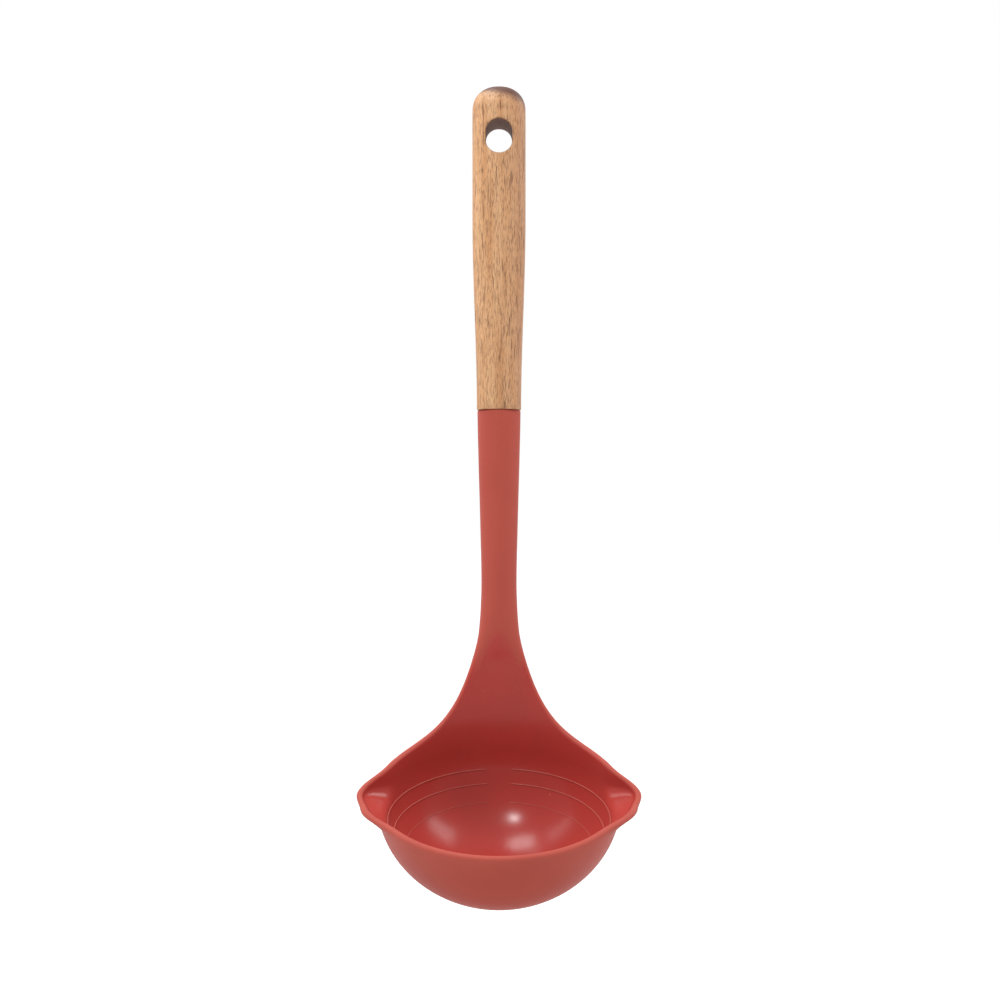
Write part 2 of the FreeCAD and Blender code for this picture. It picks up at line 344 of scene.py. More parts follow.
# %% Finish a piece
def make_piece(mesh, name, material, slot, *nodes):
    """Turn a drawing in millimetres into a piece in metres that rides on the ladle."""
    bmesh.ops.scale(mesh, vec=(MM, MM, MM), verts=mesh.verts)
    for face in mesh.faces:
        face.smooth = True
    data = bpy.data.meshes.new(name)
    mesh.to_mesh(data)
    mesh.free()
    data.materials.append(material)
    piece = bpy.data.objects.new(name, data)
    bpy.context.scene.collection.objects.link(piece)
    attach(piece, "root")
    if nodes:
        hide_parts(*nodes)
    print(name, len(data.polygons), "faces")


def soften(mesh, verts, passes):
    """Even out some points: each moves half way to its neighbours, a number of times."""
    for _ in range(passes):
        bmesh.ops.smooth_vert(
            mesh, verts=verts, factor=0.5, use_axis_x=True, use_axis_y=True, use_axis_z=True
        )


def limit(value, low=0.0, high=1.0):
    """The value, kept between two limits."""
    return min(max(value, low), high)


def smooth_step(value, start, end):
    """0 before start, 1 after end, and an even S between them."""
    t = limit((value - start) / (end - start))
    return t * t * (3 - 2 * t)


def soft_max(first, second, softness):
    """The larger of two numbers, with the corner between them rounded."""
    gap = (second - first) / softness
    return first + softness * math.log(1 + math.exp(limit(gap, -40.0, 40.0)))


def soft_min(first, second, softness):
    """The smaller of two numbers, with the corner between them rounded."""
    return -soft_max(-first, -second, softness)


# %% [markdown]
# ## The bowl's form
# The bowl is a round dish with two pouring spouts, whose back sweeps up into the neck. Drawing
# that wall point by point would be hopeless. Instead a plain round dish is spun, and each of its
# points is then moved to where a few short rules put it. The rules are the mould maker's: how high
# the rim is at each angle, how far a spout stands out, and how the wall curves down to the floor.
# Angles go round the bowl in degrees from the back, and heights are from the level rim. The
# finished bowl is leant back a little and hung under the neck.

# %% Rules of the bowl
BOWL_LEAN = 12.6
BOWL_HEIGHT = -238.8
BOWL_RADIUS = 42.24
BOWL_DEPTH = 35.74
BOWL_FULLNESS = 1.94
WALL = 2.5
FLOOR = 3.6
FLOOR_FLAT_RADIUS = 8.0
FLOOR_SHARE = 0.1
RIM_FRONT = -1.7
RIM_SLOPE = -0.009
FLARE_FOOT = 4.76
FLARE_RISE = 36.5
FLARE_START = 9.5
FLARE_FADE = 13.1
FLARE_TOP = 43.0
FLARE_BEND = 20.0
NOTCH_START = 66.4
NOTCH_END = 96.0
SPOUT_SWELL = 0.186
SPOUT_WIDTH_FRONT = 22.0
SPOUT_WIDTH_BACK = 13.4
SPOUT_SQUARENESS = 2.8
SPOUT_DEPTH = 6.0
SPOUT_FADE = 1.8
TIP_THINNING = 0.7
TIP_WIDTH = 7.0
TIP_HEIGHT = 3.5
LIP_STEP = 0.3
LEAN_COS = math.cos(math.radians(BOWL_LEAN))
LEAN_TAN = math.tan(math.radians(BOWL_LEAN))
WALL_MIDDLE = BOWL_RADIUS - WALL / 2
BOWL_SETBACK = -(WALL_MIDDLE - LEAN_TAN * FLARE_BEND / 2) * LEAN_COS
OUTER = (BOWL_RADIUS, BOWL_DEPTH)
INNER = (BOWL_RADIUS - WALL, BOWL_DEPTH - FLOOR)


def back_shift(z):
    """How far the back wall has leant back at height z, to end parallel to the handle."""
    if z <= 0:
        return 0.0
    if z < FLARE_BEND:
        return LEAN_TAN * z * z / (2 * FLARE_BEND)
    return LEAN_TAN * (z - FLARE_BEND / 2)


def rim_height(angle):
    """Height of the rim's centre line, flat where the neck stands on it."""
    angle = max(abs(angle), FLARE_START)
    y = WALL_MIDDLE * math.cos(math.radians(angle))
    level = RIM_FRONT + RIM_SLOPE * (y + WALL_MIDDLE)
    flare = FLARE_FOOT + FLARE_RISE * math.exp(-(angle - FLARE_START) / FLARE_FADE)
    crown = FLARE_TOP - math.log(1 + math.exp(FLARE_TOP - flare))
    return crown + (level - crown) * smooth_step(angle, NOTCH_START, NOTCH_END)


def spout_factor(angle, z):
    """How much further out the wall lies at a spout; 1 away from the spouts."""
    from_side = abs(angle) - 90.0
    width = SPOUT_WIDTH_FRONT if from_side > 0 else SPOUT_WIDTH_BACK
    around = math.exp(-abs(from_side / width) ** SPOUT_SQUARENESS)
    depth = limit(-z / SPOUT_DEPTH)
    down = math.cos(math.pi / 2 * depth) ** SPOUT_FADE
    return 1 + SPOUT_SWELL * around * down


def bowl_point(angle, z, side):
    """A point of one side of the wall at height z; side is its radius and depth."""
    radius, depth = side
    share = limit(-z / depth)
    r = radius * math.sqrt(1 - share ** BOWL_FULLNESS) * spout_factor(angle, z)
    turn = math.radians(angle)
    return Vector((r * math.sin(turn), r * math.cos(turn) + back_shift(z), z))


def wall_point(angle, share, side):
    """A point up one side of the wall: share is 0 at the middle of the floor and 1 at the rim."""
    radius, depth = side
    start = math.asin(FLOOR_FLAT_RADIUS / radius)
    floor_z = -depth * math.cos(start) ** (2 / BOWL_FULLNESS)
    if share < FLOOR_SHARE:
        r = FLOOR_FLAT_RADIUS * share / FLOOR_SHARE
        turn = math.radians(angle)
        return Vector((r * math.sin(turn), r * math.cos(turn), floor_z))
    top = rim_height(angle)
    if top > 0:
        end = math.pi / 2 + top / radius
    else:
        end = math.acos((-top / depth) ** (BOWL_FULLNESS / 2))
    sweep = start + (end - start) * (share - FLOOR_SHARE) / (1 - FLOOR_SHARE)
    if sweep > math.pi / 2:
        z = radius * (sweep - math.pi / 2)
    else:
        z = -depth * math.cos(sweep) ** (2 / BOWL_FULLNESS)
    point = bowl_point(angle, z, side)
    if side is INNER:
        around = math.exp(-(((abs(angle) - 90) / TIP_WIDTH) ** 2))
        tip = around * smooth_step(z, top - TIP_HEIGHT, top)
        point.x += math.copysign(TIP_THINNING * tip, point.x)
    return point


def lip_point(angle, turn):
    """A point of the round lip: turn runs from 0 outside, over the top, to pi inside."""
    outside, inside = wall_point(angle, 1.0, OUTER), wall_point(angle, 1.0, INNER)
    centre, half = (outside + inside) / 2, (outside - inside) / 2
    before, after = (
        (wall_point(angle + step, 1.0, OUTER) + wall_point(angle + step, 1.0, INNER)) / 2
        for step in (-LIP_STEP, LIP_STEP)
    )
    along = (after - before).normalized()
    away = half.cross(along).normalized()
    away = away if away.z > 0 else -away
    thickness = (half - along * half.dot(along)).length
    return centre + half * math.cos(turn) + away * thickness * math.sin(turn)


def seat(mesh):
    """Lean back what was drawn on an upright bowl, and hang it under the neck."""
    lean = Matrix.Rotation(math.radians(BOWL_LEAN), 3, "X")
    bmesh.ops.rotate(mesh, verts=mesh.verts, cent=(0, 0, 0), matrix=lean)
    bmesh.ops.translate(mesh, verts=mesh.verts, vec=(0, BOWL_SETBACK, BOWL_HEIGHT))


# %% [markdown]
# ## Spinning the bowl
# Four points make the profile: the middle of the floor and the rim, outside and inside. A float
# layer, "path", numbers them 0 to 3. Subdividing the edges between them fills in the numbers, and
# spinning the profile copies them, so that afterwards each point knows how far along the wall it
# is. That is all that the rules need. Columns are set closer together at the spouts and the neck,
# where the rim turns tightly.

# %% Spin the bowl
COLUMNS = 224
SIDE_ROWS = 64
LIP_ROWS = 10
COLUMN_ANGLES = (
    (0, 0.0), (8, 9.5), (34, 62.0), (44, 75.0), (76, 107.0), (86, 120.0), (112, 180.0),
)
FLOOR_EVENING = 4
TINY = 0.001


def spread(turn):
    """The angle that an evenly spun column is moved to, in degrees from the back."""
    column = abs(turn) * COLUMNS / 360
    for (first, low), (last, high) in zip(COLUMN_ANGLES, COLUMN_ANGLES[1:]):
        if column <= last + 1e-6:
            break
    return math.copysign(low + (high - low) * (column - first) / (last - first), turn)


def spun_bowl():
    """A closed round bowl whose points carry their path and angle."""
    mesh = bmesh.new()
    path = mesh.verts.layers.float.new("path")
    angle = mesh.verts.layers.float.new("angle")
    profile = (
        (0, -BOWL_DEPTH), (BOWL_RADIUS, 0), (BOWL_RADIUS - WALL, 0), (0, FLOOR - BOWL_DEPTH),
    )
    corners = [mesh.verts.new((0, r, z)) for r, z in profile]
    for number, corner in enumerate(corners):
        corner[path] = number
    for start, end in zip(corners, corners[1:]):
        mesh.edges.new((start, end))
    for number, rows in enumerate((SIDE_ROWS, LIP_ROWS, SIDE_ROWS)):
        part = [e for e in mesh.edges if {v[path] for v in e.verts} == {number, number + 1}]
        bmesh.ops.subdivide_edges(mesh, edges=part, cuts=rows - 1)
    bmesh.ops.spin(
        mesh, geom=mesh.verts[:] + mesh.edges[:], cent=(0, 0, 0), axis=(0, 0, 1),
        angle=2 * math.pi, steps=COLUMNS, use_merge=True,
    )
    bmesh.ops.remove_doubles(mesh, verts=mesh.verts, dist=TINY)
    for vert in mesh.verts:
        vert[angle] = spread(math.degrees(math.atan2(vert.co.x, vert.co.y)))
    return mesh, path, angle


head, path, angle = spun_bowl()
for vert in head.verts:
    along = vert[path]
    if along <= 1:
        vert.co = wall_point(vert[angle], along, OUTER)
    elif along < 2:
        vert.co = lip_point(vert[angle], math.pi * (along - 1))
    else:
        vert.co = wall_point(vert[angle], 3 - along, INNER)
floor_edge = [v for v in head.verts if min(v[path], 3 - v[path]) < 2 * FLOOR_SHARE]
soften(head, floor_edge, FLOOR_EVENING)
seat(head)
print("bowl spun:", len(head.verts), "points")

# %% [markdown]
# ## The neck and its scoop
# Above the bowl the wall thickens into an oval neck. Behind, the neck runs down the bowl's back as
# a rib. In front it is scooped out: the hollow starts as a point and widens downwards until it is
# the whole inside of the bowl. The neck's sizes are known at a few heights and read smoothly
# between them. The scoop is a horn-shaped cut that gets wider and shallower on its way down. The
# larger of two surfaces shows, with the corner between them rounded, as a mould maker blends them.
# The bowl's polish runs up into the scoop and fades out over its edge.

# %% Rules of the neck
# Each row is a height, half a width, half a depth, and how far the neck follows the bowl's curve.
NECK_STATIONS = (
    (JOINT_Z, 8.15, 6.7, 0.0),
    (-118.0, 7.8, 6.4, 0.0),
    (-142.0, 7.15, 5.95, 0.0),
    (-166.0, 6.65, 5.6, 0.0),
    (-177.0, 6.95, 5.4, 0.0),
    (-183.5, 7.45, 5.1, 0.1),
    (-188.5, 8.1, 4.7, 0.35),
    (-193.0, 8.8, 4.0, 0.7),
    (-198.0, 9.5, 3.1, 0.9),
    (-203.0, 10.3, 2.2, 1.0),
    (-208.0, 11.4, 1.4, 1.0),
    (-212.0, 12.4, 0.8, 1.0),
)
SCOOP_TOP = -184.0
SCOOP_BOTTOM = -199.5
SCOOP_TOP_DEPTH = 5.15
SCOOP_TOP_RADIUS = 8.0
BLEND_SOFTNESS = 0.3
LIP_POLISH = (1.55, 2.0)
SCOOP_POLISH = (-0.8, 0.4)
WALL_POLISH = (-0.6, 0.2)
NECK_SPAN = 45


def neck_size(z):
    """Half width, half depth and how far the neck follows the bowl's curve, at height z."""
    last = len(NECK_STATIONS) - 1
    i = next((n for n in range(last) if z >= NECK_STATIONS[n + 1][0]), last - 1)
    near = [NECK_STATIONS[min(max(n, 0), last)] for n in range(i - 1, i + 3)]
    t = limit((near[1][0] - z) / (near[1][0] - near[2][0]))
    a, b, c, d = (
        t * (t * (2 - t) - 1) / 2,
        (t * t * (3 * t - 5) + 2) / 2,
        t * (t * (4 - 3 * t) + 1) / 2,
        t * t * (t - 1) / 2,
    )
    columns = zip(*(row[1:] for row in near))
    return [a * w + b * x + c * y + d * v for w, x, y, v in columns]


def bend(x):
    """How far the bowl's curve has come forward at x from the middle of its back."""
    return (WALL_MIDDLE - math.sqrt(max(WALL_MIDDLE ** 2 - x * x, 0.0))) * LEAN_COS


def scoop_reach(x, z):
    """How far in front of the handle's axis the scoop's surface lies."""
    share = limit((SCOOP_TOP - z) / (SCOOP_TOP - SCOOP_BOTTOM))
    radius = SCOOP_TOP_RADIUS + (WALL_MIDDLE - SCOOP_TOP_RADIUS) * share
    depth = SCOOP_TOP_DEPTH + (WALL / 2 - SCOOP_TOP_DEPTH) * smooth_step(share, 0.0, 1.0)
    if z > SCOOP_TOP:
        depth += z - SCOOP_TOP
    return depth + radius - math.sqrt(max(radius ** 2 - min(abs(x), radius) ** 2, 0.0))


def scoop_polish(x, z, neck_front):
    """How far the front of the neck at x and z lies inside the scoop, from 0 to 1."""
    return smooth_step(neck_front - scoop_reach(x, z), *SCOOP_POLISH)


def thicken(x, z, back, front):
    """The neck's back, front and polish at a place where the bowl's own wall has these."""
    half_width, half_depth, follow = neck_size(z)
    straighten = (1 - follow) * bend(x)
    back, front = back + straighten, front + straighten
    if abs(x) >= half_width:
        return back, front, 1.0
    oval = half_depth * math.sqrt(1 - (x / half_width) ** 2)
    neck_front, scoop = oval + follow * bend(x), scoop_reach(x, z)
    back = soft_max(back, oval - follow * bend(x), BLEND_SOFTNESS)
    above_neck = smooth_step(-front - neck_front, *WALL_POLISH)
    scooped = max(scoop_polish(x, z, neck_front), above_neck)
    front = -soft_max(-front, soft_min(neck_front, scoop, BLEND_SOFTNESS), BLEND_SOFTNESS)
    return back, front, scooped


# %% [markdown]
# ## Thickening the bowl's back
# The spun wall is one even sheet, so it has to grow thicker where the neck comes down. Each point
# there keeps its height and its place across, and only moves backwards or forwards to the neck's
# skin. The lip is stretched from its middle, so that its top stays round. The same step notes how
# polished each point is, which the silicone's finish reads.

# %% Thicken the bowl's back into the neck
NECK_FOOT = NECK_STATIONS[-1][0]
# Besides the polish, this mask turns the silicone to its deeper red, which is partly painted shade.
inside = head.verts.layers.float.new("inside")
for vert in head.verts:
    along, x, y, z = vert[path], *vert.co
    polish = smooth_step(along, *LIP_POLISH)
    if z > NECK_FOOT and abs(vert[angle]) < NECK_SPAN:
        half_wall = WALL / 2 * LEAN_COS
        if along <= 1:
            vert.co.y = thicken(x, z, y, y - 2 * half_wall)[0]
        elif along >= 2:
            _, vert.co.y, scooped = thicken(x, z, y + 2 * half_wall, y)
            polish = polish * scooped
        else:
            side = math.cos(math.pi * (along - 1))
            rim_x = WALL_MIDDLE * math.sin(math.radians(vert[angle]))
            middle = y - side * half_wall
            back, front, scooped = thicken(rim_x, z, middle + half_wall, middle - half_wall)
            centre = middle + (1 - neck_size(z)[2]) * bend(rim_x)
            vert.co.y = centre + side * (back - centre if side > 0 else centre - front)
            polish = polish * scooped
    vert[inside] = polish

# %% [markdown]
# ## Drawing up the neck
# The lip is opened where the neck stands, and its open edge is drawn up with one extrusion after
# another. Each point of the edge keeps its own direction round the neck, so every new ring only
# needs the neck's size at its height. The last rings turn in to the soft shoulder under the wood.
# At the end the points are evened out where the drawn neck stands on the spun wall, and then on
# the face of the scoop.

# %% Draw up the neck
SHOULDER_ROUND = 0.8
NECK_RINGS = 36
SHOULDER_RINGS = 5
JOIN_EVENING = 6
SCOOP_EVENING = 12
FACING_FRONT = -0.5


def neck_point(turn, z, inset):
    """A point of the neck's skin, in direction turn round it, drawn in by inset."""
    half_width, half_depth, follow = neck_size(z)
    x = (half_width - inset) * math.cos(turn)
    y = (half_depth - inset) * math.sin(turn)
    if y < 0:
        y = -soft_min(-y, scoop_reach(x, z), BLEND_SOFTNESS)
    return Vector((x, y - follow * bend(x), z))


def near_join(below, above, half_width):
    """The head's points round the height where the drawn neck begins."""
    return [
        v for v in head.verts
        if foot_z - below < v.co.z < foot_z + above and abs(v.co.x) < half_width
    ]


open_lip = [
    v for v in head.verts
    if 1 + TINY < v[path] < 2 - TINY and abs(v[angle]) < FLARE_START - 10 * TINY
]
bmesh.ops.delete(head, geom=open_lip, context="VERTS")
edge_loop = [edge for edge in head.edges if edge.is_boundary]
turn_layer = head.verts.layers.float.new("turn")
for vert in {v for edge in edge_loop for v in edge.verts}:
    half_width, half_depth, follow = neck_size(vert.co.z)
    y = vert.co.y + follow * bend(vert.co.x)
    vert[turn_layer] = math.atan2(y / half_depth, vert.co.x / half_width)
print("neck starts on an edge of", len(edge_loop), "sides")

foot_z = max(v.co.z for edge in edge_loop for v in edge.verts)
straight_top = JOINT_Z - SHOULDER_ROUND
rings = [
    (foot_z + (straight_top - foot_z) * (i / NECK_RINGS), 0.0) for i in range(1, NECK_RINGS + 1)
]
for i in range(1, SHOULDER_RINGS + 1):
    turn = math.pi / 2 * i / SHOULDER_RINGS
    z = straight_top + SHOULDER_ROUND * math.sin(turn)
    rings.append((z, SHOULDER_ROUND * (1 - math.cos(turn))))
for z, inset in rings:
    grown = bmesh.ops.extrude_edge_only(head, edges=edge_loop)["geom"]
    edge_loop = [item for item in grown if isinstance(item, bmesh.types.BMEdge)]
    for vert in [item for item in grown if isinstance(item, bmesh.types.BMVert)]:
        vert.co = neck_point(vert[turn_layer], z, inset)
        round_front = -neck_size(z)[1] * math.sin(vert[turn_layer])
        vert[inside] = scoop_polish(vert.co.x, z, round_front) if round_front > 0 else 0.0
bmesh.ops.holes_fill(head, edges=edge_loop)
soften(head, near_join(below=5, above=4, half_width=12), JOIN_EVENING)
bmesh.ops.recalc_face_normals(head, faces=head.faces)
head.normal_update()
scoop_face = [v for v in near_join(below=14, above=8, half_width=10) if v.normal.y < FACING_FRONT]
soften(head, scoop_face, SCOOP_EVENING)
print("open edges left on the head:", sum(edge.is_boundary for edge in head.edges))
make_piece(head, "ladle_head", silicone_finish, "red_silicone", "silicone_head")

# %% [markdown]
# ## The graduation rings
# Three fine raised lines run round the inside of the bowl and stop short at the back. Each is a
# small round bead: a circle of eight points is spun round the bowl and then pressed against the
# wall, which takes it out into the spouts. The ends taper into the wall.

# %% Graduation rings
RING_DEPTHS = (7.0, 12.0, 17.7)
RING_GAP = 6.5
RING_RADII = (0.24, 0.24, 0.13)
RING_STEPS = 240
RING_TAPER = 1.2
RING_END = 0.02
BEAD_SIDES = 8

ring_mesh = bmesh.new()
for depth, radius in zip(RING_DEPTHS, RING_RADII):
    bead = bmesh.ops.create_circle(
        ring_mesh, cap_ends=True, radius=radius, segments=BEAD_SIDES
    )["verts"]
    start = Matrix.Translation((0, BOWL_RADIUS, 0)) @ Matrix.Rotation(math.radians(90), 4, "Y")
    past_gap = Matrix.Rotation(-math.radians(RING_GAP), 4, "Z")
    bmesh.ops.transform(ring_mesh, matrix=past_gap @ start, verts=bead)
    faces = [face for face in ring_mesh.faces if all(v in bead for v in face.verts)]
    before = set(ring_mesh.verts) - set(bead)
    bmesh.ops.spin(
        ring_mesh, geom=faces, cent=(0, 0, 0), axis=(0, 0, -1),
        angle=math.radians(360 - 2 * RING_GAP), steps=RING_STEPS,
    )
    for vert in set(ring_mesh.verts) - before:
        turn = math.degrees(math.atan2(vert.co.x, vert.co.y))
        out, up = math.hypot(vert.co.x, vert.co.y) - BOWL_RADIUS, vert.co.z
        full = math.sqrt(limit((abs(turn) - RING_GAP + RING_END) / RING_TAPER))
        wall = bowl_point(turn, -depth, INNER)
        outward = Vector((wall.x, wall.y, 0)).normalized()
        vert.co = wall + outward * out * full + Vector((0, 0, up * full))
seat(ring_mesh)
inside = ring_mesh.verts.layers.float.new("inside")
for vert in ring_mesh.verts:
    vert[inside] = 1.0
bmesh.ops.recalc_face_normals(ring_mesh, faces=ring_mesh.faces)
make_piece(ring_mesh, "graduation_rings", ring_finish, "red_silicone")

# %% [markdown]
# ## The wooden handle
# The handle is a flattened turning with a hanging slot cut through it. A boolean would leave
# ragged faces round the slot, which show when the wood is shaded smooth. So the slot is made
# first: its outline is drawn out ring by ring over the handle's front until it fills a square
# patch, which is mirrored to the back. Bridging the two outlines makes the slot's wall, and the
# patch's edges are drawn up over the domed end and down to the joint.

# %% Rules of the handle
HALF_WIDTH = handle_high.x
HALF_DEPTH = handle_high.y
END_HALF_WIDTH = 8.35
END_HALF_DEPTH = 6.9
TAPER_START = 30.0
SQUARENESS = 0.12
DOME_HEIGHT = 9.5
DOME_FULLNESS = 2.4
HALVINGS = 40
SLOT_WIDTH = 9.9
SLOT_LENGTH = 12.7
SLOT_EDGE_ROUND = 0.6
SLOT_STRAIGHT = (SLOT_LENGTH - SLOT_WIDTH) / 2


def handle_scale(z):
    """Half width and half depth of the handle at height z, tapered and domed."""
    taper = smooth_step(-z, TAPER_START, -JOINT_Z)
    below = limit((HANDLE_TOP - z) / DOME_HEIGHT)
    share = math.sqrt(1 - (1 - below) ** DOME_FULLNESS)
    width = HALF_WIDTH + (END_HALF_WIDTH - HALF_WIDTH) * taper
    depth = HALF_DEPTH + (END_HALF_DEPTH - HALF_DEPTH) * taper
    return width * share, depth * share


def handle_point(turn, z, inset=0.0):
    """A point of the handle's skin, in direction turn round it; minus is the front."""
    width, depth = handle_scale(z)
    x = (width - inset) * math.cos(turn) * (1 + SQUARENESS * math.sin(turn) ** 2)
    y = (depth - inset) * math.sin(turn) * (1 + SQUARENESS * math.cos(turn) ** 2)
    return Vector((x, y, z))


def front_turn(x, z):
    """The direction, on the front half, whose point lies at x, found by halving the range."""
    low, high = -math.pi, 0.0
    for _ in range(HALVINGS):
        middle = (low + high) / 2
        low, high = (middle, high) if handle_point(middle, z).x < x else (low, middle)
    return (low + high) / 2


# %% [markdown]
# ## The slot and the patch round it
# On the real handle the slot is drilled or routed, and its edge is rounded over with a small
# cutter. Here its outline is a circle pulled apart into two half circles with straight sides
# between them. Its points are numbered in order round the slot, so that each knows which point of
# the patch's edge it is drawn out to. The first rings make the rounded edge, and the rest lie on
# the handle's skin.

# %% Slot outline and the patch round it
SLOT_POINTS = 130
STRAIGHT_CUTS = 7
PATCH_HALF_HEIGHT = 10.5
PATCH_RINGS = 12
ROUND_RINGS = 5
SIDE_STEPS = 32
TOP_STEPS = 40

handle = bmesh.new()
# This mask marks the slot's wall, whose darker wood is partly painted shade.
cut_and_shade = handle.verts.layers.float.new("cut_and_shade")
outline = bmesh.ops.create_circle(handle, radius=SLOT_WIDTH / 2, segments=SLOT_POINTS)["verts"]
spin_half = Matrix.Rotation(math.pi / SLOT_POINTS, 4, "Z")
bmesh.ops.transform(handle, matrix=Matrix.Rotation(math.pi / 2, 4, "X") @ spin_half, verts=outline)
for sign in (-1, 1):
    half = [v for v in outline if v.co.z * sign > 0]
    bmesh.ops.translate(handle, verts=half, vec=(0, 0, sign * SLOT_STRAIGHT))
straights = [e for e in handle.edges if e.verts[0].co.z * e.verts[1].co.z < 0]
bmesh.ops.subdivide_edges(handle, edges=straights, cuts=STRAIGHT_CUTS)
order = handle.verts.layers.int.new("order")
start = max(handle.verts, key=lambda v: v.co.x - abs(v.co.z))
vert, edge = start, next(e for e in start.link_edges if e.other_vert(start).co.z > start.co.z)
for number in range(len(handle.verts)):
    vert[order] = number
    vert = edge.other_vert(vert)
    edge = next(e for e in vert.link_edges if e is not edge)
slot_outline = [v.co.copy() for v in sorted(handle.verts, key=lambda v: v[order])]
print("slot outline of", len(slot_outline), "points")


def patch_edge(number):
    """Direction and height of the square patch's edge for one point of the outline."""
    side, top = SIDE_STEPS // 2, TOP_STEPS
    if number <= side or number >= 3 * side + 2 * top:
        step = number if number <= side else number - len(slot_outline)
        return 0.0, PATCH_HALF_HEIGHT * step / side
    if number <= side + top:
        return -math.pi * (number - side) / top, PATCH_HALF_HEIGHT
    if number <= 3 * side + top:
        return -math.pi, PATCH_HALF_HEIGHT * (1 - (number - side - top) / side)
    return -math.pi * (1 - (number - 3 * side - top) / top), -PATCH_HALF_HEIGHT


def slot_point(number, outset):
    """The slot's outline moved outwards by outset."""
    point = slot_outline[number]
    middle = Vector((0, 0, math.copysign(min(abs(point.z), SLOT_STRAIGHT), point.z)))
    return point + (point - middle).normalized() * outset


def grow(mesh, edges, place):
    """Extrude open edges and put each new point where place says; returns the new edges."""
    grown = bmesh.ops.extrude_edge_only(mesh, edges=edges)["geom"]
    for vert in [item for item in grown if isinstance(item, bmesh.types.BMVert)]:
        vert.co = place(vert)
    return [item for item in grown if isinstance(item, bmesh.types.BMEdge)]


def rounded_rim(share):
    """A place on the slot's rounded rim: share 0 is on the skin and 1 in the slot's wall."""
    turn = math.pi / 2 * share

    def place(vert):
        point = slot_point(vert[order], SLOT_EDGE_ROUND * (1 - math.sin(turn)))
        skin = handle_point(front_turn(point.x, point.z), point.z)
        return Vector((point.x, skin.y + SLOT_EDGE_ROUND * (1 - math.cos(turn)), point.z))

    return place


def patch_ring(share):
    """A place between the slot's rim, at share 0, and the patch's edge, at share 1."""
    def place(vert):
        point = slot_point(vert[order], SLOT_EDGE_ROUND)
        turn, z = patch_edge(vert[order])
        near = front_turn(point.x, point.z)
        return handle_point(near + (turn - near) * share, point.z + (z - point.z) * share)

    return place


rim_edges = list(handle.edges)
for vert in handle.verts:
    vert.co = rounded_rim(1.0)(vert)
    vert[cut_and_shade] = 1.0
for i in reversed(range(ROUND_RINGS)):
    rim_edges = grow(handle, rim_edges, rounded_rim(i / ROUND_RINGS))
    for vert in {v for e in rim_edges for v in e.verts}:
        vert[cut_and_shade] = (i / ROUND_RINGS) ** 2
for i in range(1, PATCH_RINGS + 1):
    rim_edges = grow(handle, rim_edges, patch_ring(i / PATCH_RINGS))

# %% [markdown]
# ## Drawing out the body
# The back is the front's mirror image. The rings over the top crowd together towards the crown,
# where the dome turns fastest, and close in one point. The rings downwards end in a small rounded
# edge and a blind hole for the core's tang, which is bored on the real handle. How far the domed
# end faces up, leaning towards its right side, is noted too: that is where the end grain shows,
# and where painted shade darkens the crown.

# %% Mirror the patch, bridge the slot and draw out the body
BODY_STEP = 2.2
DOME_RINGS = 14
JOINT_ROUND = 0.35
JOINT_RINGS = 4
SOCKET_RADIUS = 4.5
SOCKET_DEPTH = 50.0
SLOT_WALL_CUTS = 8
DOME_CROWDING = 1.7
CROWN_CLEARANCE = 0.0005
END_SHADE_TO_RIGHT = 0.03
END_FACING = (0.22, 0.7)

front = handle.verts[:] + handle.edges[:] + handle.faces[:]
bmesh.ops.mirror(handle, geom=front, axis="Y", merge_dist=TINY)
slot_edges = [e for e in handle.edges if e.is_boundary and all(v[cut_and_shade] > 0.99 for v in e.verts)]
wall = bmesh.ops.bridge_loops(handle, edges=slot_edges)
crossing = [e for e in wall["edges"] if e.verts[0].co.y * e.verts[1].co.y < 0]
bmesh.ops.subdivide_edges(handle, edges=crossing, cuts=SLOT_WALL_CUTS, use_grid_fill=True)
turn_layer = handle.verts.layers.float.new("turn")
for vert in handle.verts:
    vert[turn_layer] = math.atan2(vert.co.y, vert.co.x)


def open_edges(sign):
    """The patch's open edge at its top or bottom, its points marked with their directions."""
    edges = [
        e for e in handle.edges
        if e.is_boundary and all(v.co.z * sign > PATCH_HALF_HEIGHT - 10 * TINY for v in e.verts)
    ]
    steps = [-math.pi + 2 * math.pi * n / (2 * TOP_STEPS) for n in range(2 * TOP_STEPS)]
    for vert in {v for e in edges for v in e.verts}:
        vert[turn_layer] = min(steps, key=lambda t: (handle_point(t, vert.co.z) - vert.co).length)
    return edges


edges = open_edges(1)
for i in range(1, DOME_RINGS + 1):
    z = HANDLE_TOP - (HANDLE_TOP - PATCH_HALF_HEIGHT) * (1 - i / DOME_RINGS) ** DOME_CROWDING
    z = min(z, HANDLE_TOP - CROWN_CLEARANCE)
    edges = grow(handle, edges, lambda v: handle_point(v[turn_layer], z))
crown = list(dict.fromkeys(v for e in edges for v in e.verts))
bmesh.ops.pointmerge(handle, verts=crown, merge_co=(0, 0, HANDLE_TOP))

edges = open_edges(-1)
body_rings = int((-PATCH_HALF_HEIGHT - JOINT_Z) / BODY_STEP)
for i in range(1, body_rings + 1):
    z = -PATCH_HALF_HEIGHT + (JOINT_Z + JOINT_ROUND + PATCH_HALF_HEIGHT) * i / body_rings
    edges = grow(handle, edges, lambda v: handle_point(v[turn_layer], z))
for i in range(1, JOINT_RINGS + 1):
    turn = math.pi / 2 * i / JOINT_RINGS
    z = JOINT_Z + JOINT_ROUND * (1 - math.sin(turn))
    inset = JOINT_ROUND * (1 - math.cos(turn))
    edges = grow(handle, edges, lambda v: handle_point(v[turn_layer], z, inset))


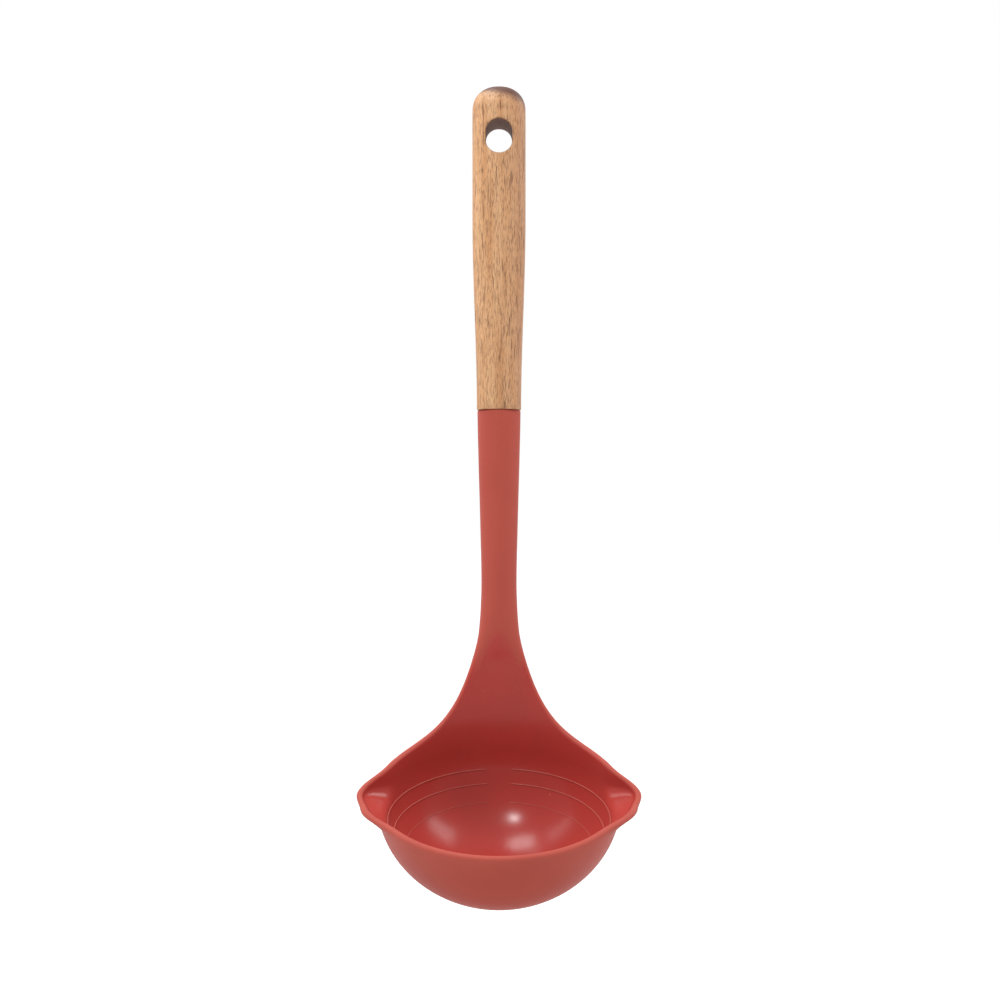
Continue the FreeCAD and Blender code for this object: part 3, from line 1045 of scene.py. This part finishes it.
def socket_point(vert):
    """A point of the socket's round wall, in the direction of one on the handle's skin."""
    turn = vert[turn_layer]
    return Vector((SOCKET_RADIUS * math.cos(turn), SOCKET_RADIUS * math.sin(turn), z))


for z in (JOINT_Z, JOINT_Z + SOCKET_DEPTH):
    edges = grow(handle, edges, socket_point)
bmesh.ops.holes_fill(handle, edges=edges)
bmesh.ops.recalc_face_normals(handle, faces=handle.faces)
handle.normal_update()
end = handle.verts.layers.float.new("end")
# The end mask: end grain, and painted shade that grows towards the crown's top and right side.
for vert in handle.verts:
    if vert.co.z > PATCH_HALF_HEIGHT:
        vert[end] = smooth_step(vert.normal.z + vert.co.x * END_SHADE_TO_RIGHT, *END_FACING)
print("open edges left on the handle:", sum(edge.is_boundary for edge in handle.edges))
make_piece(handle, "ladle_handle", wood_finish, "hardwood", "wooden_handle")

# %% [markdown]
# ## Stage and light
# The ladle is shown as in a light tent, which fills the shadows: it is brightest behind and to the
# upper left, and dimmer in front. The floor lies well below and is white, glowing a little; right
# under the ladle it is grey, a painted shadow pool, so that less light comes back up on the
# underside of the bowl. Four soft boxes shape the neck and give the polished inside its highlights.

# %% Stage and light
FLOOR_Z = -0.62
FLOOR_SIZE = 12.0
# The grey under the ladle is a painted shadow pool on the floor.
FLOOR_SHADOW_GREY = colour(116, 116, 116)
FLOOR_WHITE = colour(240, 240, 240)
FLOOR_EDGE = (0.65, 0.76)
FLOOR_GLOW = 0.4
BLACK = (0, 0, 0, 1)
WHITE = (1, 1, 1, 1)
TENT_BRIGHT_SIDE = (-0.15, 0.9, 0.3)
TENT_RANGE = {"From Min": -0.5, "From Max": 0.75, "To Min": 0.55, "To Max": 1.0}
BOWL_PLACE = (0, -0.04, -0.24)

floor_mesh = bmesh.new()
bmesh.ops.create_grid(floor_mesh, x_segments=8, y_segments=8, size=FLOOR_SIZE)
bmesh.ops.translate(floor_mesh, verts=floor_mesh.verts, vec=(0, 0, FLOOR_Z))
floor_data = bpy.data.meshes.new("studio_floor")
floor_mesh.to_mesh(floor_data)
floor_mesh.free()
floor = bpy.data.objects.new("studio_floor", floor_data)
bpy.context.scene.collection.objects.link(floor)
pale = Finish("pale_floor")
reach = pale.node("VectorMath", {"operation": "LENGTH"}, {0: pale.place}, output="Value")
away = pale.step(reach, *FLOOR_EDGE)
floor_data.materials.append(
    pale.surface(
        Base_Color=pale.blend(away, FLOOR_SHADOW_GREY, FLOOR_WHITE), Roughness=0.9,
        Emission_Color=pale.blend(away, BLACK, WHITE), Emission_Strength=FLOOR_GLOW,
    )
)
floor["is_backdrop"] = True

world = bpy.data.worlds.new("light_tent")
world.use_nodes = True
nodes, links = world.node_tree.nodes, world.node_tree.links
direction = nodes.new("ShaderNodeTexCoord")
toward_back = nodes.new("ShaderNodeVectorMath")
toward_back.operation = "DOT_PRODUCT"
toward_back.inputs[1].default_value = TENT_BRIGHT_SIDE
front_to_back = nodes.new("ShaderNodeMapRange")
links.new(direction.outputs["Generated"], toward_back.inputs[0])
links.new(toward_back.outputs["Value"], front_to_back.inputs["Value"])
for name, value in TENT_RANGE.items():
    front_to_back.inputs[name].default_value = value
links.new(front_to_back.outputs["Result"], nodes["Background"].inputs["Strength"])
nodes["Background"].inputs["Color"].default_value = WHITE
bpy.context.scene.world = world
bpy.context.scene.view_settings.view_transform = "Standard"


def soft_box(name, place, width, height, watts):
    """A rectangular lamp at place, aimed at the bowl."""
    lamp = bpy.data.lights.new(name, "AREA")
    lamp.shape = "RECTANGLE"
    lamp.size, lamp.size_y, lamp.energy = width, height, watts
    box = bpy.data.objects.new(name, lamp)
    box.location = place
    box.rotation_euler = (Vector(BOWL_PLACE) - Vector(place)).to_track_quat("-Z", "Y").to_euler()
    box.visible_camera = False
    bpy.context.scene.collection.objects.link(box)


soft_box("high_box", (-0.22, -0.50, 0.62), 0.10, 0.10, 3.6)
soft_box("top_box", (-0.28, 0.0, 0.78), 0.26, 0.32, 3.9)
soft_box("right_box", (0.75, 0.1, 0.56), 0.35, 0.45, 3.8)
soft_box("left_box", (-0.77, 0.17, 0.52), 0.35, 0.45, 1.9)

# %% [markdown]
# ## Measuring and finishing
# The new pieces have to stay inside the box of the CAD model, because the part is placed by that
# box. Both boxes are printed, in millimetres.

# %% Measure and finish
visual_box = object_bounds()
for name, box in (("CAD", cad_box), ("visual", visual_box)):
    print(name, [[round(value / MM, 2) for value in corner] for corner in box])
